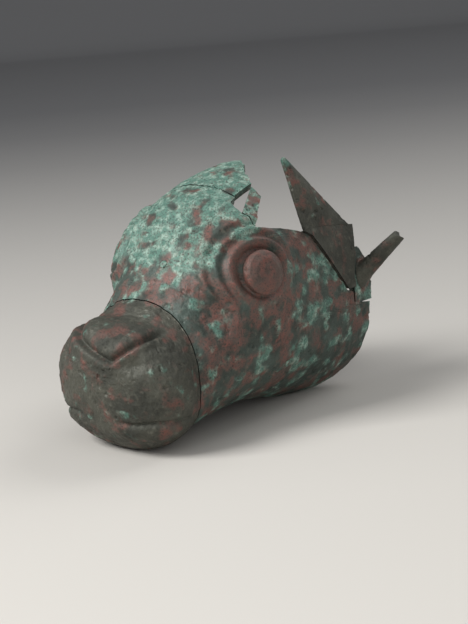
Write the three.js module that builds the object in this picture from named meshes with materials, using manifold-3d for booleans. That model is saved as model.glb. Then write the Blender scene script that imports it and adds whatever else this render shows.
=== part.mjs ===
// A broken head of a bovine, hollow-cast in bronze: a fragment of a vessel, with its cracked pieces lying in place.
// It rests on its chin and on the rear of its throat. The nose points to -Y and the animal's left side to +X.
import * as THREE from 'three';
import Module from 'manifold-3d';

const wasm = await Module();
wasm.setup();

// Driving dimensions, in millimetres
const HEAD = { length: 98, halfWidth: 34.5, height: 86 };
const WALL = 2.6;
const THROAT_WALL = 2.2;
const GAP = 0.3;
const THROAT_GAP = 0.8;
const EYE = { radius: 8, rise: 1.8, t: 38.5, angle: 24, mound: 3.6, moundRadius: 15 };
const SPACER = { radius: 1.3 };
const HORN = { tip: [25, 64, 94], tipWidth: 2.4, wall: 2.2, bulge: 3, from: 66, to: 94, angle: 31.6 };
const EAR = { length: 21, width: 4.6, thick: 3.1, notch: 3 };

// The muzzle's front is a blunt dome: t runs from -25 at its pole to 0 at the muzzle's widest ring
const DOME = { start: -25, length: 18, square: 2.5, poleHeight: 29 };

// Cross-sections from the widest ring (t = 0) to the broken neck (t = 100), as shares of the driving dimensions
const STATIONS = [
  { t: 0, half: 0.855, top: 0.535, bottom: -0.012, mid: 0.267, squareTop: 2.3, squareBottom: 2.4 },
  { t: 8, half: 0.817, top: 0.599, bottom: 0.019, mid: 0.291, squareTop: 2.2, squareBottom: 2.5 },
  { t: 15, half: 0.855, top: 0.674, bottom: 0.037, mid: 0.337, squareTop: 2.1, squareBottom: 2.5 },
  { t: 25, half: 0.942, top: 0.825, bottom: 0.053, mid: 0.395, squareTop: 2.1, squareBottom: 2.5 },
  { t: 35, half: 0.986, top: 0.94, bottom: 0.058, mid: 0.442, squareTop: 2.3, squareBottom: 2.5 },
  { t: 47, half: 1.0, top: 0.995, bottom: 0.04, mid: 0.465, squareTop: 2.45, squareBottom: 2.5 },
  { t: 59, half: 0.986, top: 1.03, bottom: 0.006, mid: 0.465, squareTop: 2.5, squareBottom: 2.4 },
  { t: 73, half: 0.957, top: 1.04, bottom: -0.029, mid: 0.453, squareTop: 2.5, squareBottom: 2.4 },
  { t: 100, half: 0.899, top: 0.953, bottom: -0.058, mid: 0.442, squareTop: 2.5, squareBottom: 2.4 },
];

// Where each piece ends: pairs of an angle round the head (0 near side, 90 top, 180 far side) and a t
const GROOVE_T = 8;
const FACE_EDGE = [
  [-72, 54], [-67, 77], [-54, 88], [-36, 99], [-22, 102], [-9, 102], [-7, 92.3], [-1, 91.5], [1, 87.5], [28, 69], [31, 64.5],
  [37, 52], [42, 42.6], [62, 42.6], [63, 46], [125, 46], [128, 63], [150, 79], [180, 90], [210, 80], [236, 70], [252, 54],
];
const CREST_EDGE = [[64, 57], [74, 60], [84, 67], [92, 71], [100, 75], [108, 71], [116, 65], [124, 59]];
const TEMPLE_EDGE = [[-6, 103], [4, 104], [12, 102], [20, 98]];
const THROAT_EDGE = [[-150, 75], [-120, 90], [-100, 92], [-85, 88], [-67, 80], [-54, 90], [-36, 100.5], [-30, 101]];
const FLAP = { from: 43, to: 54.5, low: [43, 53], high: [54, 62] };

// Finishes read from the photograph: corroded bronze under green and red crusts
const FINISHES = {
  olive: { color: 0x4a4c42, roughness: 0.62, metalness: 0.35 },
  malachite: { color: 0x5f8f78, roughness: 0.85, metalness: 0.1 },
  cuprite: { color: 0x6b4a44, roughness: 0.8, metalness: 0.15 },
  dark: { color: 0x2a302c, roughness: 0.7, metalness: 0.25 },
};

// The head's surface
function along(t, key) {
  const last = STATIONS.length - 1;
  const x = Math.min(Math.max(t, 0), STATIONS[last].t);
  let i = 0;
  while (i < last - 1 && x > STATIONS[i + 1].t) i += 1;
  const slope = (k) => {
    if (k === 0) return 0;
    const from = STATIONS[k - 1];
    const to = STATIONS[Math.min(k + 1, last)];
    return (to[key] - from[key]) / (to.t - from.t);
  };
  const span = STATIONS[i + 1].t - STATIONS[i].t;
  const q = (x - STATIONS[i].t) / span;
  const rise = q * q * (3 - 2 * q);
  const leave = q * (1 - q) * (1 - q) * span * slope(i);
  const arrive = q * q * (q - 1) * span * slope(i + 1);
  return STATIONS[i][key] + (STATIONS[i + 1][key] - STATIONS[i][key]) * rise + leave + arrive;
}

function basePoint(t, degrees) {
  const angle = THREE.MathUtils.degToRad(degrees);
  const turn = THREE.MathUtils.clamp(1 - t / DOME.start, 0, 1) * Math.PI / 2;
  const swell = (Math.cos(turn) ** DOME.square + Math.sin(turn) ** DOME.square) ** (-1 / DOME.square);
  const shrink = t < 0 ? swell * Math.sin(turn) : 1;
  const y = t < 0 ? -DOME.length * swell * Math.cos(turn) : t * HEAD.length / 100;
  const cos = Math.cos(angle);
  const sin = Math.sin(angle);
  const square = along(t, sin >= 0 ? 'squareTop' : 'squareBottom');
  const radius = (Math.abs(cos) ** square + Math.abs(sin) ** square) ** (-1 / square);
  const mid = along(t, 'mid');
  const reach = sin >= 0 ? along(t, 'top') - mid : mid - along(t, 'bottom');
  const x = along(t, 'half') * HEAD.halfWidth * radius * cos * shrink;
  const z = (mid + reach * radius * sin) * HEAD.height;
  return new THREE.Vector3(x, y, DOME.poleHeight + (z - DOME.poleHeight) * shrink);
}

function outwardNormal(t, degrees) {
  const step = 0.01;
  const back = basePoint(t + step, degrees).sub(basePoint(t - step, degrees));
  const round = basePoint(t, degrees + step).sub(basePoint(t, degrees - step));
  return back.cross(round).normalize();
}

function eyeMound(point) {
  return [EYE.angle, 180 - EYE.angle].reduce((sum, degrees) => {
    const distance = point.distanceTo(basePoint(EYE.t, degrees));
    return sum + EYE.mound * Math.exp(-((distance / EYE.moundRadius) ** 2));
  }, 0);
}

// A point at a depth below the head's outer surface, kept at or above a floor so that the piece can stand
function skin(t, degrees, depth = 0, floor = 0) {
  const point = basePoint(t, degrees);
  const lift = eyeMound(point);
  if (t > DOME.start) {
    point.addScaledVector(outwardNormal(t, degrees), lift - depth);
  } else {
    point.y += depth;
  }
  point.z = Math.max(point.z, floor);
  return point;
}

function edgeAt(edge, degrees) {
  if (degrees <= edge[0][0]) return edge[0][1];
  const i = edge.findIndex(([angle]) => angle >= degrees);
  if (i < 0) return edge[edge.length - 1][1];
  const [[a0, t0], [a1, t1]] = [edge[i - 1], edge[i]];
  return t0 + (t1 - t0) * (degrees - a0) / (a1 - a0);
}

// Angles for a patch's columns: every corner of its edge, and steps of at most 5 degrees between corners
function columnAngles(edge) {
  const angles = [edge[0][0]];
  for (let i = 1; i < edge.length; i += 1) {
    const [from, to] = [edge[i - 1][0], edge[i][0]];
    const parts = Math.ceil((to - from) / 5);
    for (let k = 1; k <= parts; k += 1) angles.push(from + (to - from) * k / parts);
  }
  return angles;
}

// Closed bodies: an outer grid, an inner grid and the rim that joins them
function facingOut(points, triangles) {
  const cross = new THREE.Vector3();
  const volume = triangles.reduce((sum, [a, b, c]) => {
    cross.crossVectors(points[b], points[c]);
    return sum + points[a].dot(cross);
  }, 0);
  return { points, triangles: volume > 0 ? triangles : triangles.map(([a, b, c]) => [a, c, b]) };
}

function shell({ rows, columns, wraps = false, pole = false }, outerAt, innerAt) {
  const points = [];
  const ring = wraps ? columns : columns + 1;
  const addGrid = (pointAt) => {
    const start = points.length;
    for (let i = 0; i <= rows; i += 1) {
      const count = pole && i === 0 ? 1 : ring;
      for (let j = 0; j < count; j += 1) points.push(pointAt(i / rows, j / columns));
    }
    return (i, j) => {
      if (pole) return i === 0 ? start : start + 1 + (i - 1) * ring + (j % ring);
      return start + i * ring + (j % ring);
    };
  };
  const outer = addGrid(outerAt);
  const inner = addGrid(innerAt);
  const triangles = [];
  const quad = (a, b, c, d) => {
    if (new Set([a, b, c]).size === 3) triangles.push([a, b, c]);
    if (new Set([a, c, d]).size === 3) triangles.push([a, c, d]);
  };
  for (let i = 0; i < rows; i += 1) {
    for (let j = 0; j < columns; j += 1) {
      quad(outer(i, j), outer(i + 1, j), outer(i + 1, j + 1), outer(i, j + 1));
      quad(inner(i, j), inner(i, j + 1), inner(i + 1, j + 1), inner(i + 1, j));
    }
    if (!wraps) {
      quad(outer(i, 0), inner(i, 0), inner(i + 1, 0), outer(i + 1, 0));
      quad(outer(i, columns), outer(i + 1, columns), inner(i + 1, columns), inner(i, columns));
    }
  }
  for (let j = 0; j < columns; j += 1) {
    quad(outer(rows, j), inner(rows, j), inner(rows, j + 1), outer(rows, j + 1));
    if (!pole) quad(outer(0, j), outer(0, j + 1), inner(0, j + 1), inner(0, j));
  }
  return facingOut(points, triangles);
}

function loft(rings, startCentre, endCentre) {
  const around = rings[0].length;
  const points = rings.flat();
  const start = points.push(startCentre) - 1;
  const end = points.push(endCentre) - 1;
  const triangles = [];
  const last = (rings.length - 1) * around;
  for (let k = 0; k < around; k += 1) {
    const next = (k + 1) % around;
    for (let r = 0; r < last; r += around) {
      triangles.push([r + k, r + next, r + around + next], [r + k, r + around + next, r + around + k]);
    }
    triangles.push([start, next, k], [end, last + k, last + next]);
  }
  return facingOut(points, triangles);
}

// A round plug set into the wall: rings of a radius at a depth, along the wall's normal at one place
function plug(t, degrees, profile, around = 24) {
  const centre = skin(t, degrees);
  const axis = outwardNormal(t, degrees);
  const side = new THREE.Vector3(0, 1, 0).cross(axis).normalize();
  const up = axis.clone().cross(side);
  const at = (radius, depth, k) => {
    const angle = 2 * Math.PI * k / around;
    return centre.clone()
      .addScaledVector(axis, -depth)
      .addScaledVector(side, radius * Math.cos(angle))
      .addScaledVector(up, radius * Math.sin(angle));
  };
  const rings = profile.map(([radius, depth]) => Array.from({ length: around }, (_, k) => at(radius, depth, k)));
  return loft(rings, at(0, profile[0][1], 0), at(0, profile[profile.length - 1][1], 0));
}

// Cutting holes for the plugs
function toManifold({ points, triangles }) {
  const vertProperties = new Float32Array(points.flatMap((p) => [p.x, p.y, p.z]));
  const triVerts = new Uint32Array(triangles.flat());
  return new wasm.Manifold(new wasm.Mesh({ numProp: 3, vertProperties, triVerts }));
}

function cutAway(body, tools) {
  const cut = tools.reduce((left, tool) => left.subtract(toManifold(tool)), toManifold(body));
  const { numProp, vertProperties, triVerts } = cut.getMesh();
  const points = [];
  for (let i = 0; i < vertProperties.length; i += numProp) {
    points.push(new THREE.Vector3(vertProperties[i], vertProperties[i + 1], vertProperties[i + 2]));
  }
  const triangles = [];
  for (let i = 0; i < triVerts.length; i += 3) triangles.push([triVerts[i], triVerts[i + 1], triVerts[i + 2]]);
  return { points, triangles };
}

// The pieces
const EYES = [[EYE.t, EYE.angle], [EYE.t, 180 - EYE.angle]];
const SPACERS = { brow: [18.5, 82.5], cheek: [51, -30.5] };

function muzzleCap() {
  const place = (u) => DOME.start + u * (GROOVE_T - DOME.start);
  return shell({ rows: 15, columns: 44, wraps: true, pole: true },
    (u, v) => skin(place(u), v * 360),
    (u, v) => skin(place(u), v * 360, WALL, WALL));
}

// A patch of the wall from a front line to an edge, between two depths below the head's surface
function edgedPatch(edge, startAt, rows, outer, inner, floor = 0) {
  const angles = columnAngles(edge);
  const place = (u, v) => {
    const degrees = angles[Math.round(v * (angles.length - 1))];
    const start = startAt(degrees);
    return [start + u * (edgeAt(edge, degrees) - start), degrees];
  };
  return shell({ rows, columns: angles.length - 1 },
    (u, v) => skin(...place(u, v), outer),
    (u, v) => skin(...place(u, v), inner, floor));
}

function faceShell() {
  const body = edgedPatch(FACE_EDGE, () => GROOVE_T + GAP, 22, 0, WALL);
  const hole = (radius) => [[radius, 9], [radius, -9]];
  const tools = EYES.map(([t, degrees]) => plug(t, degrees, hole(EYE.radius + GAP)));
  Object.values(SPACERS).forEach(([t, degrees]) => tools.push(plug(t, degrees, hole(SPACER.radius + GAP))));
  return cutAway(body, tools);
}

// The seam between the horn's root and the temple fragment behind it
const seamAt = (degrees) => 92.3 + 0.2 * Math.max(0, degrees - 10);

function hornRoot() {
  const place = (u, v) => {
    const degrees = 1.6 + 29.2 * v;
    const start = edgeAt(FACE_EDGE, degrees) + 2 * GAP;
    return [start + u * (seamAt(degrees) - GAP - start), degrees];
  };
  return shell({ rows: 10, columns: 14 }, (u, v) => skin(...place(u, v), -1.2), (u, v) => skin(...place(u, v), 1.6));
}

function hornRootFlap() {
  const place = (u, v) => {
    const from = THREE.MathUtils.lerp(FLAP.low[0], FLAP.high[0], u);
    const to = THREE.MathUtils.lerp(FLAP.low[1], FLAP.high[1], u);
    return [THREE.MathUtils.lerp(FLAP.from, FLAP.to, u), THREE.MathUtils.lerp(from, to, v)];
  };
  return shell({ rows: 7, columns: 7 }, (u, v) => skin(...place(u, v)), (u, v) => skin(...place(u, v), WALL));
}

function hornShard() {
  const tip = new THREE.Vector3(...HORN.tip);
  const outside = new THREE.Vector3(0.88, -0.42, 0.2).normalize();
  const sheet = (across, up) => {
    const point = skin(THREE.MathUtils.lerp(HORN.from, HORN.to, across), HORN.angle, -1);
    const end = tip.clone().add(new THREE.Vector3(0, (across - 0.5) * HORN.tipWidth, -2 * Math.abs(across - 0.4)));
    return point.lerp(end, up).addScaledVector(outside, HORN.bulge * Math.sin(Math.PI * across) * up * (1 - up) * 2);
  };
  return shell({ rows: 12, columns: 12 }, (u, v) => sheet(v, u),
    (u, v) => sheet(v, u).addScaledVector(outside, -HORN.wall));
}

function nearEar() {
  const around = 20;
  const base = [98, 7];
  const root = skin(...base, -GAP);
  const direction = new THREE.Vector3(0.6, 0.42, 0.68).normalize();
  const wide = new THREE.Vector3(-0.1, 0.86, -0.5).normalize();
  const flat = direction.clone().cross(wide).normalize();
  const ringAt = (q) => Array.from({ length: around }, (_, k) => {
    const angle = 2 * Math.PI * k / around;
    const onSkin = skin(base[0] + 4 * Math.cos(angle), base[1] + 8 * Math.sin(angle), -GAP);
    const taper = 1 - 0.35 * q;
    const roll = 1 - 0.45 * Math.exp(-(((angle - Math.PI / 2) / 0.5) ** 2));
    const free = root.clone()
      .addScaledVector(direction, q * EAR.length - (q > 0.95 ? EAR.notch * Math.cos(angle) ** 2 * 0.5 : 0))
      .addScaledVector(wide, EAR.width * taper * Math.cos(angle))
      .addScaledVector(flat, EAR.thick * taper * roll * Math.sin(angle));
    return onSkin.lerp(free, THREE.MathUtils.smoothstep(q, 0, 0.3));
  });
  const rings = [0, 0.12, 0.22, 0.35, 0.5, 0.65, 0.8, 0.93, 1].map(ringAt);
  return loft(rings, root.clone(), root.clone().addScaledVector(direction, EAR.length - EAR.notch));
}

function throatPlate() {
  const start = () => GROOVE_T + 2 * GAP;
  const depth = WALL + THROAT_GAP;
  return edgedPatch(THROAT_EDGE, start, 22, depth, depth + THROAT_WALL, THROAT_WALL);
}

function eyeBoss([t, degrees]) {
  const r = EYE.radius;
  return plug(t, degrees, [[r * 0.98, WALL], [r, 0.4], [r * 0.9, -0.8], [r * 0.6, -EYE.rise], [r * 0.2, -EYE.rise - 0.2]]);
}

function coreSpacer([t, degrees]) {
  const r = SPACER.radius;
  return plug(t, degrees, [[r, WALL - 0.4], [r, -0.2], [r * 0.7, -0.4]], 12);
}

function piece(name, { points, triangles }, finish) {
  const geometry = new THREE.BufferGeometry().setFromPoints(points);
  geometry.setIndex(triangles.flat());
  geometry.computeVertexNormals();
  const mesh = new THREE.Mesh(geometry, new THREE.MeshStandardMaterial(FINISHES[finish]));
  mesh.name = name;
  return mesh;
}

// The assembly, centred over its footprint
const group = new THREE.Group();
group.name = 'bovine_head_fragment';
const crestStart = () => 46 + GAP;
const templeStart = (degrees) => seamAt(degrees) + GAP;
group.add(
  piece('muzzle_cap', muzzleCap(), 'olive'),
  piece('face_shell', faceShell(), 'malachite'),
  piece('poll_crest', edgedPatch(CREST_EDGE, crestStart, 10, 0, WALL), 'malachite'),
  piece('horn_root_flap', hornRootFlap(), 'cuprite'),
  piece('horn_root', hornRoot(), 'olive'),
  piece('horn_shard', hornShard(), 'olive'),
  piece('temple_fragment', edgedPatch(TEMPLE_EDGE, templeStart, 6, 0, WALL), 'malachite'),
  piece('near_ear', nearEar(), 'olive'),
  piece('throat_plate', throatPlate(), 'dark'),
  piece('near_eye_boss', eyeBoss(EYES[0]), 'cuprite'),
  piece('far_eye_boss', eyeBoss(EYES[1]), 'cuprite'),
  piece('core_spacer_brow', coreSpacer(SPACERS.brow), 'malachite'),
  piece('core_spacer_cheek', coreSpacer(SPACERS.cheek), 'cuprite'),
);
const box = new THREE.Box3().setFromObject(group);
const centre = box.getCenter(new THREE.Vector3());
group.children.forEach((mesh) => mesh.position.set(-centre.x, -centre.y, -box.min.z));

export default group;
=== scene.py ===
"""Visual model of a broken bronze head of a bovine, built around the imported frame.

The head's surface is one formula in t and an angle round the head, and every piece of the wall is a patch
of it. t is percent of the head's length behind the muzzle's widest ring, and negative on the front dome.
The angle is 0 degrees on the near side, 90 on top and 180 on the far side. Sizes are in millimetres.
"""

from __future__ import annotations

import logging
import math
from dataclasses import dataclass
from enum import Enum, IntEnum
from typing import Callable

import bpy
import numpy as np
from mathutils import Matrix, Vector

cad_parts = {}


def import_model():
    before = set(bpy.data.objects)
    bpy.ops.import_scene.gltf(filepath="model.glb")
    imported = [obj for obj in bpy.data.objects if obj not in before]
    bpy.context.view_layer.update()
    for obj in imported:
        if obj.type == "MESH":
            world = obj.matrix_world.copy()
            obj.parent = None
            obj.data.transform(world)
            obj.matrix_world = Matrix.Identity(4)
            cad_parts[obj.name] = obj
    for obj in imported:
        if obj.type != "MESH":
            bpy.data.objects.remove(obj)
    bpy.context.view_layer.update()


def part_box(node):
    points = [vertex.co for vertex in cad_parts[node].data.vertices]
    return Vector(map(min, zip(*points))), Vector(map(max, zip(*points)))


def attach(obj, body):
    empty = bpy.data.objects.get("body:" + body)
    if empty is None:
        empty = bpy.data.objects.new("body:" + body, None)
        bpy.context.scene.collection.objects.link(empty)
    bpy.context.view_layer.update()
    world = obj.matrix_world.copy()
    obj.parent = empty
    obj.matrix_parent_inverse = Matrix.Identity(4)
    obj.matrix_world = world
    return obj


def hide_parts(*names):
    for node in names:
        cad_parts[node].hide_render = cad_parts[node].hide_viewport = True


LOG = logging.getLogger("bovine_head")
MM = 0.001

Color = tuple[float, float, float, float]
Edge = list[tuple[float, float]]
Faces = list[list[int]]
Masks = dict[str, np.ndarray]
Pair = tuple[float, float]
Triple = tuple[float, float, float]
Place = Callable[[np.ndarray, np.ndarray], tuple[np.ndarray, np.ndarray]]


def smoothstep(low: float, high: float, x: np.ndarray) -> np.ndarray:
    """0 below low, 1 above high, and a smooth rise between."""
    q = np.clip((x - low) / (high - low), 0, 1)
    return q * q * (3 - 2 * q)


def bump(x: np.ndarray, width: float) -> np.ndarray:
    """A bell of height 1 round zero."""
    return np.exp(-((x / width) ** 2))


def unit(*direction: float) -> np.ndarray:
    """A direction of length 1."""
    return np.array(direction) / np.linalg.norm(direction)


@dataclass(frozen=True)
class Bell:
    """A smooth swelling, or a hollow if its height is negative."""

    height: float
    place: float
    width: float

    def at(self, x: np.ndarray) -> np.ndarray:
        """Its height at x."""
        return self.height * bump(x - self.place, self.width)


class Side(IntEnum):
    """The animal's two sides, by the sign of X."""

    NEAR = 1
    FAR = -1


class Slot(str, Enum):
    """The record's material slots."""

    OLIVE = "olive_bronze"
    CRUSTED = "crusted_bronze"
    RED = "red_bronze"
    DARK = "dark_bronze"


@dataclass(frozen=True)
class HeadSizes:
    """The head's overall sizes, its wall and its fits, the same as the frame's."""

    length: float = 98.0
    half_width: float = 34.5
    height: float = 86.0
    wall: float = 2.6
    gap: float = 0.3
    throat_wall: float = 2.2
    throat_gap: float = 0.8
    groove_t: float = 8.0


@dataclass(frozen=True)
class DomeSizes:
    """The blunt dome that closes the muzzle in front."""

    start: float = -25.0
    length: float = 18.0
    square: float = 2.5
    pole_height: float = 29.0


@dataclass(frozen=True)
class Ridge:
    """A cast ridge round the eye, between two bearings in degrees from straight ahead."""

    radius: float
    width: float
    height: float
    start: float
    end: float

    FADE_IN = (15, 15)
    FADE_OUT = (25, 15)

    def lift(self, radius: np.ndarray, bearing: np.ndarray) -> np.ndarray:
        """Its height: a bell across its radius, faded in and out at its two ends.

        Args:
            radius: distance from the eye's centre.
            bearing: degrees from straight ahead.

        Returns:
            The height above the mound.
        """
        fade_in = smoothstep(self.start - self.FADE_IN[0], self.start + self.FADE_IN[1], bearing)
        fade_out = 1 - smoothstep(self.end - self.FADE_OUT[0], self.end + self.FADE_OUT[1], bearing)
        return fade_in * fade_out * self.height * bump(radius - self.radius, self.width)


@dataclass(frozen=True)
class EyeSizes:
    """An eye: its place, boss, mound, seat, groove and ridges, and the hollow ahead of it."""

    t: float = 38.5
    angle: float = 24.0
    radius: float = 8.0
    rise: float = 1.8
    mound: Bell = Bell(3.6, 0.0, 15.0)
    reach: Pair = (-14.0, -7.0)
    seat_depth: float = 1.5
    seat_edge: Pair = (8.2, 9.4)
    groove: Bell = Bell(0.9, 9.0, 0.7)
    hollow_ahead: Bell = Bell(2.2, 20.0, 6.5)
    hollow_above: Bell = Bell(1.0, -9.0, 7.0)
    ridges: tuple[Ridge, ...] = (
        Ridge(11.4, 1.2, 1.6, -30, 175),
        Ridge(15.2, 1.3, 1.9, -25, 160),
        Ridge(19.2, 1.5, 1.7, -20, 130),
    )


@dataclass(frozen=True)
class NoseSizes:
    """The cast lines of the nose and mouth. The fold is a V over the nose pad, steeper on the near side."""

    front: Pair = (-5.0, 6.0)
    sides: Pair = (19.0, 25.0)
    fold_height: float = 36.0
    far_slope: float = 0.3
    far_start: float = 8.0
    near_slope: float = 0.75
    near_start: float = 9.0
    fold: tuple[Bell, ...] = (Bell(1.3, 4.0, 3.5), Bell(-1.7, 0.0, 1.1), Bell(0.7, -2.6, 1.6))
    nostril_across: Bell = Bell(1.7, 18.0, 3.6)
    nostril_up: Bell = Bell(1.0, 35.0, 2.6)
    mouth: Bell = Bell(1.3, 13.3, 0.9)
    mouth_sides: Pair = (6.0, 14.0)
    mouth_wave: float = 0.5
    mouth_wavelength: float = 3.0
    lip: Bell = Bell(0.8, 9.5, 3.0)
    groove_depth: float = 1.1
    groove_width: float = 2.6
    groove_above: Pair = (8.0, 20.0)


HEAD, DOME, EYE, NOSE = HeadSizes(), DomeSizes(), EyeSizes(), NoseSizes()

# t, half width, top, bottom and middle height as shares of the head's sizes, squareness above and below
STATIONS = np.array(
    [
        [0, 0.855, 0.535, -0.012, 0.267, 2.3, 2.4],
        [8, 0.817, 0.599, 0.019, 0.291, 2.2, 2.5],
        [15, 0.855, 0.674, 0.037, 0.337, 2.1, 2.5],
        [25, 0.942, 0.825, 0.053, 0.395, 2.1, 2.5],
        [35, 0.986, 0.94, 0.058, 0.442, 2.3, 2.5],
        [47, 1.0, 0.995, 0.04, 0.465, 2.45, 2.5],
        [59, 0.986, 1.03, 0.006, 0.465, 2.5, 2.4],
        [73, 0.957, 1.04, -0.029, 0.453, 2.5, 2.4],
        [100, 0.899, 0.953, -0.058, 0.442, 2.5, 2.4],
    ]
)
HALF, TOP, BOTTOM, MID, SQUARE_TOP, SQUARE_BOTTOM = range(1, 7)

# Where each piece of the wall ends: an angle and a t
FACE_EDGE: Edge = [
    (-72, 54), (-67, 77), (-54, 88), (-36, 99), (-22, 102), (-9, 102), (-7, 92.3), (-1, 91.5),
    (1, 87.5), (28, 69), (31, 64.5), (37, 52), (42, 42.6), (62, 42.6), (63, 46), (125, 46),
    (128, 63), (150, 79), (180, 90), (210, 80), (236, 70), (252, 54),
]
CREST_EDGE: Edge = [(64, 57), (74, 60), (84, 67), (92, 71), (100, 75), (108, 71), (116, 65), (124, 59)]
CREST_START = 46.3
TEMPLE_EDGE: Edge = [(-6, 103), (4, 104), (12, 102), (20, 98)]
THROAT_EDGE: Edge = [
    (-150, 75), (-120, 90), (-100, 92), (-85, 88), (-67, 80), (-54, 90), (-36, 100.5), (-30, 101),
]


class Noise:
    """Seeded value noise on a cubic lattice."""

    SIZE = 64
    LAYER_OFFSET = 7.3

    def __init__(self, seed: int) -> None:
        self.values = np.random.default_rng(seed).random((self.SIZE,) * 3)

    def at(self, points: np.ndarray, grain: float) -> np.ndarray:
        """Smoothly interpolated lattice values.

        Args:
            points: positions, shape (..., 3).
            grain: the lattice's pitch.

        Returns:
            Values from 0 to 1.
        """
        q = points / grain
        cell = np.floor(q).astype(int)
        f = q - cell
        f = f * f * (3 - 2 * f)
        total = np.zeros(points.shape[:-1])
        for corner in np.ndindex(2, 2, 2):
            weight = np.prod(np.where(np.array(corner) == 1, f, 1 - f), axis=-1)
            i, j, k = np.moveaxis((cell + corner) % self.SIZE, -1, 0)
            total += weight * self.values[i, j, k]
        return total

    def layered(self, points: np.ndarray, grain: float, layers: int = 4) -> np.ndarray:
        """Layers of ever finer noise, from about 0 to 1."""
        parts = [self.at(points + self.LAYER_OFFSET * k, grain / 2**k) / 2**k for k in range(layers)]
        return sum(parts) / sum(1 / 2**k for k in range(layers))


CRUST, STAIN, GRAIN = Noise(11), Noise(23), Noise(37)


def station(t: np.ndarray, column: int) -> np.ndarray:
    """One column of the stations at t, by a smooth cubic through them that leaves the first one level.

    Args:
        t: places along the head.
        column: which of the stations' values.

    Returns:
        The value at each place.
    """
    x, value = STATIONS[:, 0], STATIONS[:, column]
    slope = np.zeros_like(value)
    slope[1:-1] = (value[2:] - value[:-2]) / (x[2:] - x[:-2])
    slope[-1] = (value[-1] - value[-2]) / (x[-1] - x[-2])
    t = np.clip(t, x[0], x[-1])
    i = np.clip(np.searchsorted(x, t, side="right") - 1, 0, len(x) - 2)
    span = x[i + 1] - x[i]
    q = (t - x[i]) / span
    rise = q * q * (3 - 2 * q)
    ends = q * (1 - q) ** 2 * span * slope[i] + q * q * (q - 1) * span * slope[i + 1]
    return value[i] + (value[i + 1] - value[i]) * rise + ends


def base_point(t: np.ndarray, degrees: np.ndarray) -> np.ndarray:
    """The head's smooth surface.

    A superellipse section is swept along the head. In front, each section shrinks towards the pole of a
    squarish dome.

    Args:
        t: places along the head.
        degrees: angles round it.

    Returns:
        Points, shape (..., 3).
    """
    t, degrees = np.broadcast_arrays(np.asarray(t, float), np.asarray(degrees, float))
    angle = np.radians(degrees)
    turn = np.clip(1 - t / DOME.start, 0, 1) * np.pi / 2
    swell = (np.cos(turn) ** DOME.square + np.sin(turn) ** DOME.square) ** (-1 / DOME.square)
    shrink = np.where(t < 0, swell * np.sin(turn), 1.0)
    y = np.where(t < 0, -DOME.length * swell * np.cos(turn), t * HEAD.length / 100)
    cos, sin = np.cos(angle), np.sin(angle)
    square = np.where(sin >= 0, station(t, SQUARE_TOP), station(t, SQUARE_BOTTOM))
    radius = (np.abs(cos) ** square + np.abs(sin) ** square) ** (-1 / square)
    mid = station(t, MID)
    reach = np.where(sin >= 0, station(t, TOP) - mid, mid - station(t, BOTTOM))
    x = station(t, HALF) * HEAD.half_width * radius * cos * shrink
    z = (mid + reach * radius * sin) * HEAD.height
    return np.stack([x, y, DOME.pole_height + (z - DOME.pole_height) * shrink], -1)


def outward(t: np.ndarray, degrees: np.ndarray) -> np.ndarray:
    """Unit normals of the smooth surface: the cross product of a small step back and one round the head.

    Args:
        t: places along the head.
        degrees: angles round it.

    Returns:
        Directions, shape (..., 3). At the dome's pole, where there is none, straight ahead.
    """
    step, least = 0.01, 1e-9
    back = base_point(t + step, degrees) - base_point(t - step, degrees)
    around = base_point(t, degrees + step) - base_point(t, degrees - step)
    normal = np.cross(back, around)
    length = np.linalg.norm(normal, axis=-1, keepdims=True)
    return np.where(length > least, normal / np.maximum(length, least), [0.0, -1.0, 0.0])


def eye_angle(side: Side) -> float:
    """The angle round the head at which an eye stands."""
    return EYE.angle if side is Side.NEAR else 180 - EYE.angle


def eye_axes(side: Side) -> tuple[np.ndarray, np.ndarray, np.ndarray, np.ndarray]:
    """The axes that an eye's lines are drawn on.

    Args:
        side: which eye.

    Returns:
        Its centre, outward normal, forward direction and upward direction.
    """
    t, degrees = np.array(EYE.t), np.array(eye_angle(side))
    normal = outward(t, degrees)
    forward = np.array([0.0, -1.0, 0.0])
    forward -= normal * forward.dot(normal)
    forward /= np.linalg.norm(forward)
    up = np.cross(normal, forward) * -side
    return base_point(t, degrees), normal, forward, up


def eye_mounds(points: np.ndarray) -> np.ndarray:
    """The broad swellings that carry the eyes."""
    return sum(EYE.mound.at(np.linalg.norm(points - eye_axes(side)[0], axis=-1)) for side in Side)


def eye_lines(points: np.ndarray, side: Side) -> np.ndarray:
    """What is cast round one eye: ridges, less the boss's sunk seat and groove, less the hollow ahead.

    Args:
        points: positions on the smooth surface.
        side: which eye.

    Returns:
        The height above the mound, 0 on the head's other side.
    """
    centre, normal, forward, up = eye_axes(side)
    q = points - centre
    ahead, above = q @ forward, q @ up
    radius = np.hypot(ahead, above)
    bearing = np.degrees(np.arctan2(above, ahead))
    seat = EYE.seat_depth * (1 - smoothstep(*EYE.seat_edge, radius)) + EYE.groove.at(radius)
    ridges = sum(ridge.lift(radius, bearing) for ridge in EYE.ridges)
    hollow = EYE.hollow_ahead.at(ahead) * EYE.hollow_above.at(above)
    return smoothstep(*EYE.reach, q @ normal) * (ridges - seat - hollow)


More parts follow.
